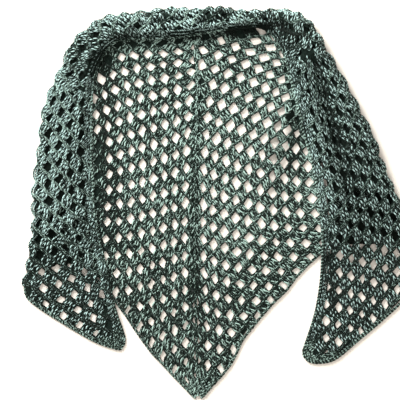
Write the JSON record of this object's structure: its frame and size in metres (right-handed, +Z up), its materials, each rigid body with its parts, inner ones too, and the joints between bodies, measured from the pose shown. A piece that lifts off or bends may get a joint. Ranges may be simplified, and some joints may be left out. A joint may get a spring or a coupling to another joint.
{
  "type": "crochet triangle shawl",
  "caption": "Dark green marled crochet triangle shawl with an open cluster mesh and braided edging, laid flat with its neck edge rolled over and both wings folded down over the front.",
  "frame": {"origin": "centre of the shawl's outline as laid, on the surface that it lies on", "axes": "+Z up out of the surface, +Y from the tip of the back towards the neck roll, +X towards the right wing as seen from above"},
  "size_m": [0.7308, 0.7252, 0.0329],
  "materials": {
    "cloth": "marled dark green worsted yarn, double crochet clusters",
    "spine": "marled dark green worsted yarn, centre line of increases",
    "wing_cloth": "marled dark green worsted yarn, double crochet clusters",
    "neck_cloth": "marled dark green worsted yarn, bunched",
    "edging": "marled green yarn, braided single crochet edging",
    "hidden_cloth": "dark green yarn in shade, layers folded inside"
  },
  "bodies": {
    "root": {"back_left": "cloth", "back_right": "cloth", "spine": "spine", "hem_edging_left": "edging", "hem_edging_right": "edging", "left_wing": "wing_cloth", "left_shoulder": "wing_cloth", "neck_roll": "neck_cloth", "right_shoulder": "wing_cloth", "right_wing": "wing_cloth", "left_wing_edging": "edging", "left_shoulder_edging": "edging", "neck_edging": "edging", "right_shoulder_edging": "edging", "right_wing_edging": "edging", "left_hidden_layers": "hidden_cloth", "left_shoulder_hidden_layers": "hidden_cloth", "neck_hidden_layers": "hidden_cloth", "right_shoulder_hidden_layers": "hidden_cloth", "right_hidden_layers": "hidden_cloth"}
  },
  "joints": []
}
